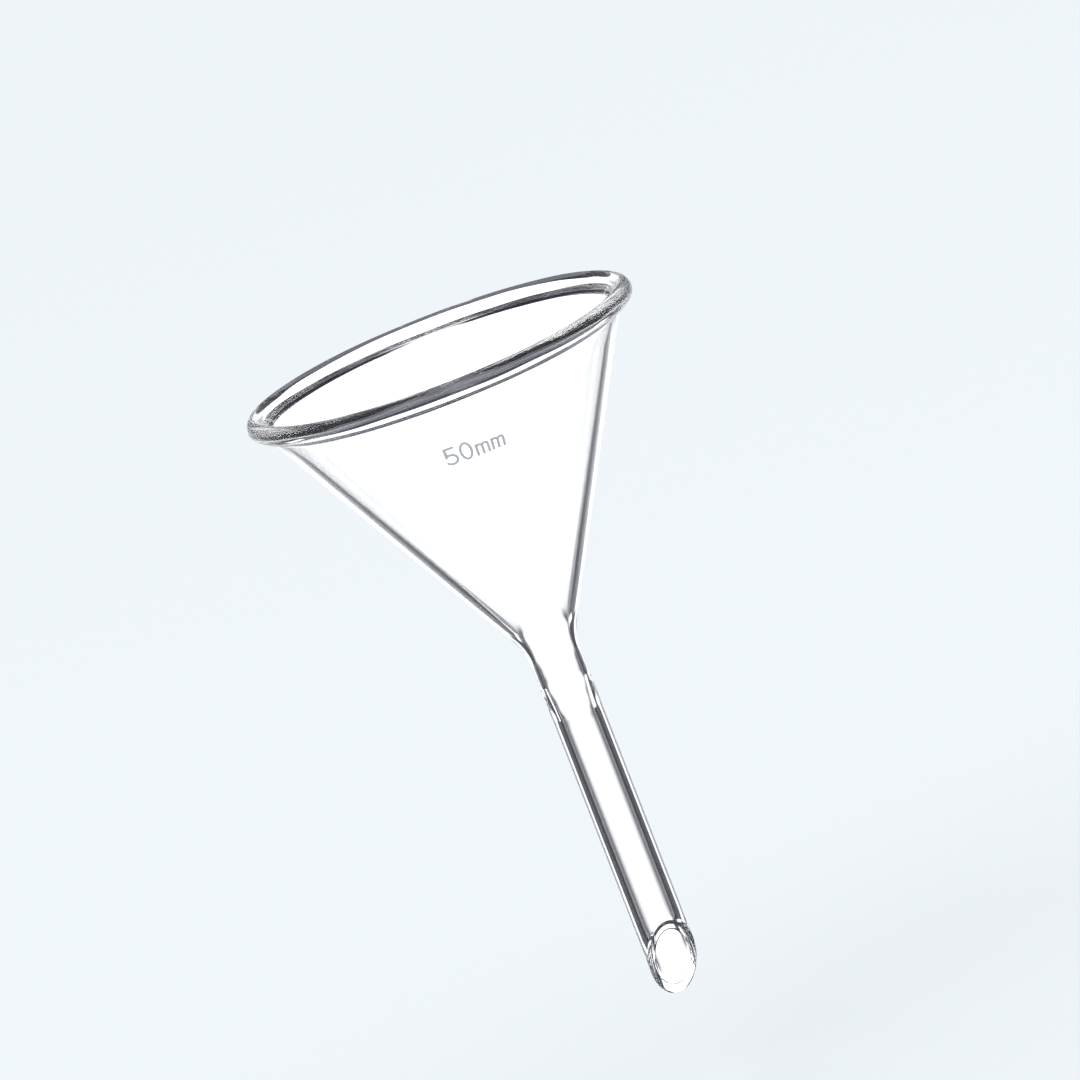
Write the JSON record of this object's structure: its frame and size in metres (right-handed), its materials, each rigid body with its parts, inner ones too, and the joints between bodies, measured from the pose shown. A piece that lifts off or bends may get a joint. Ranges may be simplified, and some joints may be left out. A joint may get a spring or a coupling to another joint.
{
  "type": "laboratory funnel",
  "caption": "Clear glass filling funnel: a plain cone with a rolled rim bead, drawn down to a short straight stem cut on a slant, with a printed size mark.",
  "frame": {"origin": "on the funnel's axis, at the height where a support ring of 15 mm radius touches the outside of the cone", "axes": "+Z along the axis from the stem to the mouth; the size mark faces -Y and the slanting cut of the stem faces between -Y and +X"},
  "size_m": [0.05, 0.05, 0.0867],
  "materials": {
    "clear_glass": "clear, fire-polished",
    "printed_enamel": "matt fired print"
  },
  "bodies": {
    "root": {"rim_bead": "clear_glass", "bowl": "clear_glass", "throat": "clear_glass", "stem": "clear_glass", "size_mark_5": "printed_enamel", "size_mark_0": "printed_enamel", "size_mark_m_left": "printed_enamel", "size_mark_m_right": "printed_enamel"}
  },
  "joints": []
}
